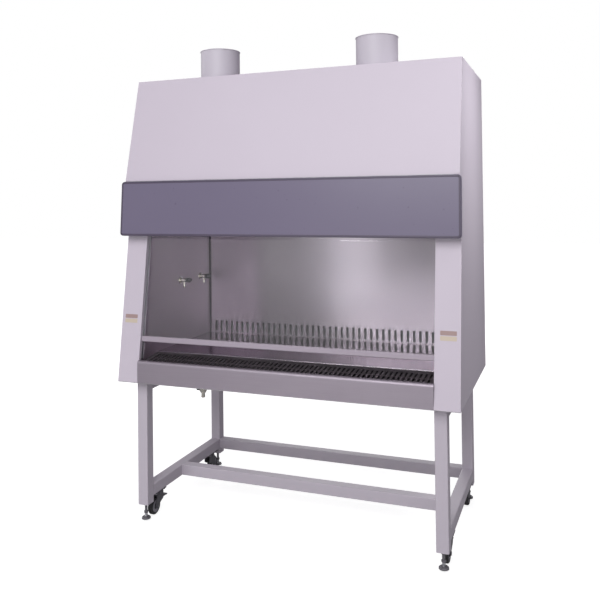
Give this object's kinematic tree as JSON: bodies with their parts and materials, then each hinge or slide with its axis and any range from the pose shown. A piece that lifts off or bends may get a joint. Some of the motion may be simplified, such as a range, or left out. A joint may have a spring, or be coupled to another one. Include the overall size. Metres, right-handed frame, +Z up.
{
  "type": "biosafety cabinet",
  "caption": "Class II biosafety cabinet with sloped front, counterbalanced sliding sash, slotted stainless chamber and twin exhaust collars, on a tube stand with casters and levelling feet.",
  "frame": {"origin": "on the floor under the middle of the object", "axes": "+Z up, -Y towards the user, +X to the right of a user who faces the cabinet"},
  "size_m": [1.516, 0.81, 2.12],
  "materials": {
    "body_paint": "satin pale lilac-grey powder coat",
    "slate_paint": "satin slate grey-purple coat",
    "collar_paint": "satin pale grey coat",
    "stainless": "brushed stainless steel",
    "galvanised": "zinc-coated sheet",
    "motor_metal": "satin dark grey",
    "impeller_metal": "plain sheet",
    "aluminium": "satin anodised",
    "filter_paper": "matte pleated glass-fibre paper",
    "lamp_glass": "milky tube",
    "sash_glass": "clear toughened glass",
    "black_plastic": "moulded black plastic",
    "steel_cable": "zinc-plated steel",
    "cast_iron": "plain dark iron",
    "valve_metal": "bright plated",
    "lever_paint": "dark dipped grip",
    "stand_paint": "satin grey powder coat",
    "caster_metal": "black coated steel",
    "foot_metal": "zinc-plated steel",
    "caster_rubber": "black rubber tread"
  },
  "bodies": {
    "cabinet": {"side_panel_left": "body_paint", "side_panel_right": "body_paint", "rear_panel": "body_paint", "roof_panel": "body_paint", "front_upper_panel": "body_paint", "columns": "body_paint", "exhaust_collars": "collar_paint", "front_sill": "stainless", "base_pan": "stainless", "chamber_side_walls": "stainless", "chamber_back_wall": "stainless", "front_grille": "stainless", "exhaust_hoods": "galvanised", "header_frame": "galvanised", "plenum_box": "galvanised", "blower_housing": "galvanised", "balance_frames": "galvanised", "lamp_fittings": "galvanised", "blower_motor": "motor_metal", "control_box": "motor_metal", "filter_frames": "aluminium", "diffuser_plate": "aluminium", "filter_media": "filter_paper", "lamp_tubes": "lamp_glass", "sash_guides": "black_plastic", "power_inlet": "black_plastic", "sash_cables": "steel_cable", "rear_panel_screws": "steel_cable", "service_cocks": "valve_metal", "drain_valve": "valve_metal", "stand_legs": "stand_paint", "stand_rails": "stand_paint", "caster_plates": "caster_metal"},
    "header_cover": {"header_cover": "slate_paint"},
    "sash": {"sash_glass": "sash_glass", "sash_rails": "aluminium"},
    "counterweight_left": {"counterweight_left": "cast_iron"},
    "counterweight_right": {"counterweight_right": "cast_iron"},
    "pulley_left": {"pulley_left": "aluminium"},
    "pulley_right": {"pulley_right": "aluminium"},
    "work_tray": {"work_tray": "stainless"},
    "impeller": {"impeller": "impeller_metal"},
    "mains_rocker": {"mains_rocker": "black_plastic"},
    "cock_handle_front": {"cock_handle_front": "black_plastic"},
    "cock_handle_rear": {"cock_handle_rear": "black_plastic"},
    "drain_lever": {"drain_lever": "lever_paint"},
    "levelling_foot_front_left": {"levelling_foot_front_left": "foot_metal"},
    "caster_swivel_front_left": {"caster_fork_front_left": "caster_metal"},
    "caster_wheel_front_left": {"caster_wheel_front_left": "caster_rubber"},
    "levelling_foot_rear_left": {"levelling_foot_rear_left": "foot_metal"},
    "caster_swivel_rear_left": {"caster_fork_rear_left": "caster_metal"},
    "caster_wheel_rear_left": {"caster_wheel_rear_left": "caster_rubber"},
    "levelling_foot_front_right": {"levelling_foot_front_right": "foot_metal"},
    "caster_swivel_front_right": {"caster_fork_front_right": "caster_metal"},
    "caster_wheel_front_right": {"caster_wheel_front_right": "caster_rubber"},
    "levelling_foot_rear_right": {"levelling_foot_rear_right": "foot_metal"},
    "caster_swivel_rear_right": {"caster_fork_rear_right": "caster_metal"},
    "caster_wheel_rear_right": {"caster_wheel_rear_right": "caster_rubber"},
    "brake_pedal_left": {"brake_pedal_left": "black_plastic"},
    "brake_pedal_right": {"brake_pedal_right": "black_plastic"}
  },
  "joints": [
    {"name": "header_cover_hinge", "type": "hinge", "parent": "cabinet", "child": "header_cover", "pos_m": [0, -0.343, 1.511], "axis": [-1, 0, 0], "range_deg": [0, 70]},
    {"name": "sash_slide", "type": "slide", "parent": "cabinet", "child": "sash", "axis": [0, 0.1392, 0.9903], "range_m": [-0.075, 0.38], "deforming": ["sash_cables"]},
    {"name": "counterweight_left_slide", "type": "slide", "parent": "cabinet", "child": "counterweight_left", "axis": [0, 0, 1], "range_m": [-0.38, 0.075]},
    {"name": "pulley_left_turn", "type": "hinge", "parent": "cabinet", "child": "pulley_left", "pos_m": [-0.709, -0.18013, 1.87278], "axis": [-1, 0, 0], "range_deg": [-108, 545]},
    {"name": "counterweight_right_slide", "type": "slide", "parent": "cabinet", "child": "counterweight_right", "axis": [0, 0, 1], "range_m": [-0.38, 0.075]},
    {"name": "pulley_right_turn", "type": "hinge", "parent": "cabinet", "child": "pulley_right", "pos_m": [0.709, -0.18013, 1.87278], "axis": [-1, 0, 0], "range_deg": [-108, 545]},
    {"name": "work_tray_lift", "type": "slide", "parent": "cabinet", "child": "work_tray", "axis": [0, 0, 1], "range_m": [0, 0.15]},
    {"name": "impeller_spin", "type": "hinge", "parent": "cabinet", "child": "impeller", "pos_m": [0, 0.2, 1.62], "axis": [0, 1, 0], "continuous": true},
    {"name": "mains_rocker_tilt", "type": "hinge", "parent": "cabinet", "child": "mains_rocker", "pos_m": [0.578, 0.397, 1.5], "axis": [-1, 0, 0], "range_deg": [0, 16]},
    {"name": "cock_handle_front_turn", "type": "hinge", "parent": "cabinet", "child": "cock_handle_front", "pos_m": [-0.6, -0.025, 1.043], "axis": [1, 0, 0], "range_deg": [0, 90]},
    {"name": "cock_handle_rear_turn", "type": "hinge", "parent": "cabinet", "child": "cock_handle_rear", "pos_m": [-0.6, 0.174, 1.043], "axis": [1, 0, 0], "range_deg": [0, 90]},
    {"name": "drain_lever_turn", "type": "hinge", "parent": "cabinet", "child": "drain_lever", "pos_m": [-0.417, -0.278, 0.598], "axis": [-1, 0, 0], "range_deg": [0, 90]},
    {"name": "levelling_foot_front_left_screw", "type": "slide", "parent": "cabinet", "child": "levelling_foot_front_left", "axis": [0, 0, 1], "range_m": [-0.03, 0.005]},
    {"name": "caster_front_left_swivel", "type": "hinge", "parent": "cabinet", "child": "caster_swivel_front_left", "pos_m": [-0.665, -0.23, 0.09], "axis": [0, 0, 1], "continuous": true},
    {"name": "caster_front_left_roll", "type": "hinge", "parent": "caster_swivel_front_left", "child": "caster_wheel_front_left", "pos_m": [-0.665, -0.255, 0.0375], "axis": [1, 0, 0], "continuous": true},
    {"name": "levelling_foot_rear_left_screw", "type": "slide", "parent": "cabinet", "child": "levelling_foot_rear_left", "axis": [0, 0, 1], "range_m": [-0.03, 0.005]},
    {"name": "caster_rear_left_swivel", "type": "hinge", "parent": "cabinet", "child": "caster_swivel_rear_left", "pos_m": [-0.665, 0.288, 0.09], "axis": [0, 0, 1], "continuous": true},
    {"name": "caster_rear_left_roll", "type": "hinge", "parent": "caster_swivel_rear_left", "child": "caster_wheel_rear_left", "pos_m": [-0.665, 0.313, 0.0375], "axis": [1, 0, 0], "continuous": true},
    {"name": "levelling_foot_front_right_screw", "type": "slide", "parent": "cabinet", "child": "levelling_foot_front_right", "axis": [0, 0, 1], "range_m": [-0.03, 0.005]},
    {"name": "caster_front_right_swivel", "type": "hinge", "parent": "cabinet", "child": "caster_swivel_front_right", "pos_m": [0.665, -0.23, 0.09], "axis": [0, 0, 1], "continuous": true},
    {"name": "caster_front_right_roll", "type": "hinge", "parent": "caster_swivel_front_right", "child": "caster_wheel_front_right", "pos_m": [0.665, -0.255, 0.0375], "axis": [1, 0, 0], "continuous": true},
    {"name": "levelling_foot_rear_right_screw", "type": "slide", "parent": "cabinet", "child": "levelling_foot_rear_right", "axis": [0, 0, 1], "range_m": [-0.03, 0.005]},
    {"name": "caster_rear_right_swivel", "type": "hinge", "parent": "cabinet", "child": "caster_swivel_rear_right", "pos_m": [0.665, 0.288, 0.09], "axis": [0, 0, 1], "continuous": true},
    {"name": "caster_rear_right_roll", "type": "hinge", "parent": "caster_swivel_rear_right", "child": "caster_wheel_rear_right", "pos_m": [0.665, 0.313, 0.0375], "axis": [1, 0, 0], "continuous": true},
    {"name": "brake_pedal_left_press", "type": "hinge", "parent": "caster_swivel_front_left", "child": "brake_pedal_left", "pos_m": [-0.665, -0.206, 0.064], "axis": [-1, 0, 0], "range_deg": [0, 10]},
    {"name": "brake_pedal_right_press", "type": "hinge", "parent": "caster_swivel_front_right", "child": "brake_pedal_right", "pos_m": [0.665, -0.206, 0.064], "axis": [-1, 0, 0], "range_deg": [0, 10]}
  ],
  "couplings": [
    {"joint": "counterweight_left_slide", "follows": "sash_slide", "ratio": -1},
    {"joint": "pulley_left_turn", "follows": "sash_slide", "rad_per_m": 25},
    {"joint": "counterweight_right_slide", "follows": "sash_slide", "ratio": -1},
    {"joint": "pulley_right_turn", "follows": "sash_slide", "rad_per_m": 25}
  ]
}
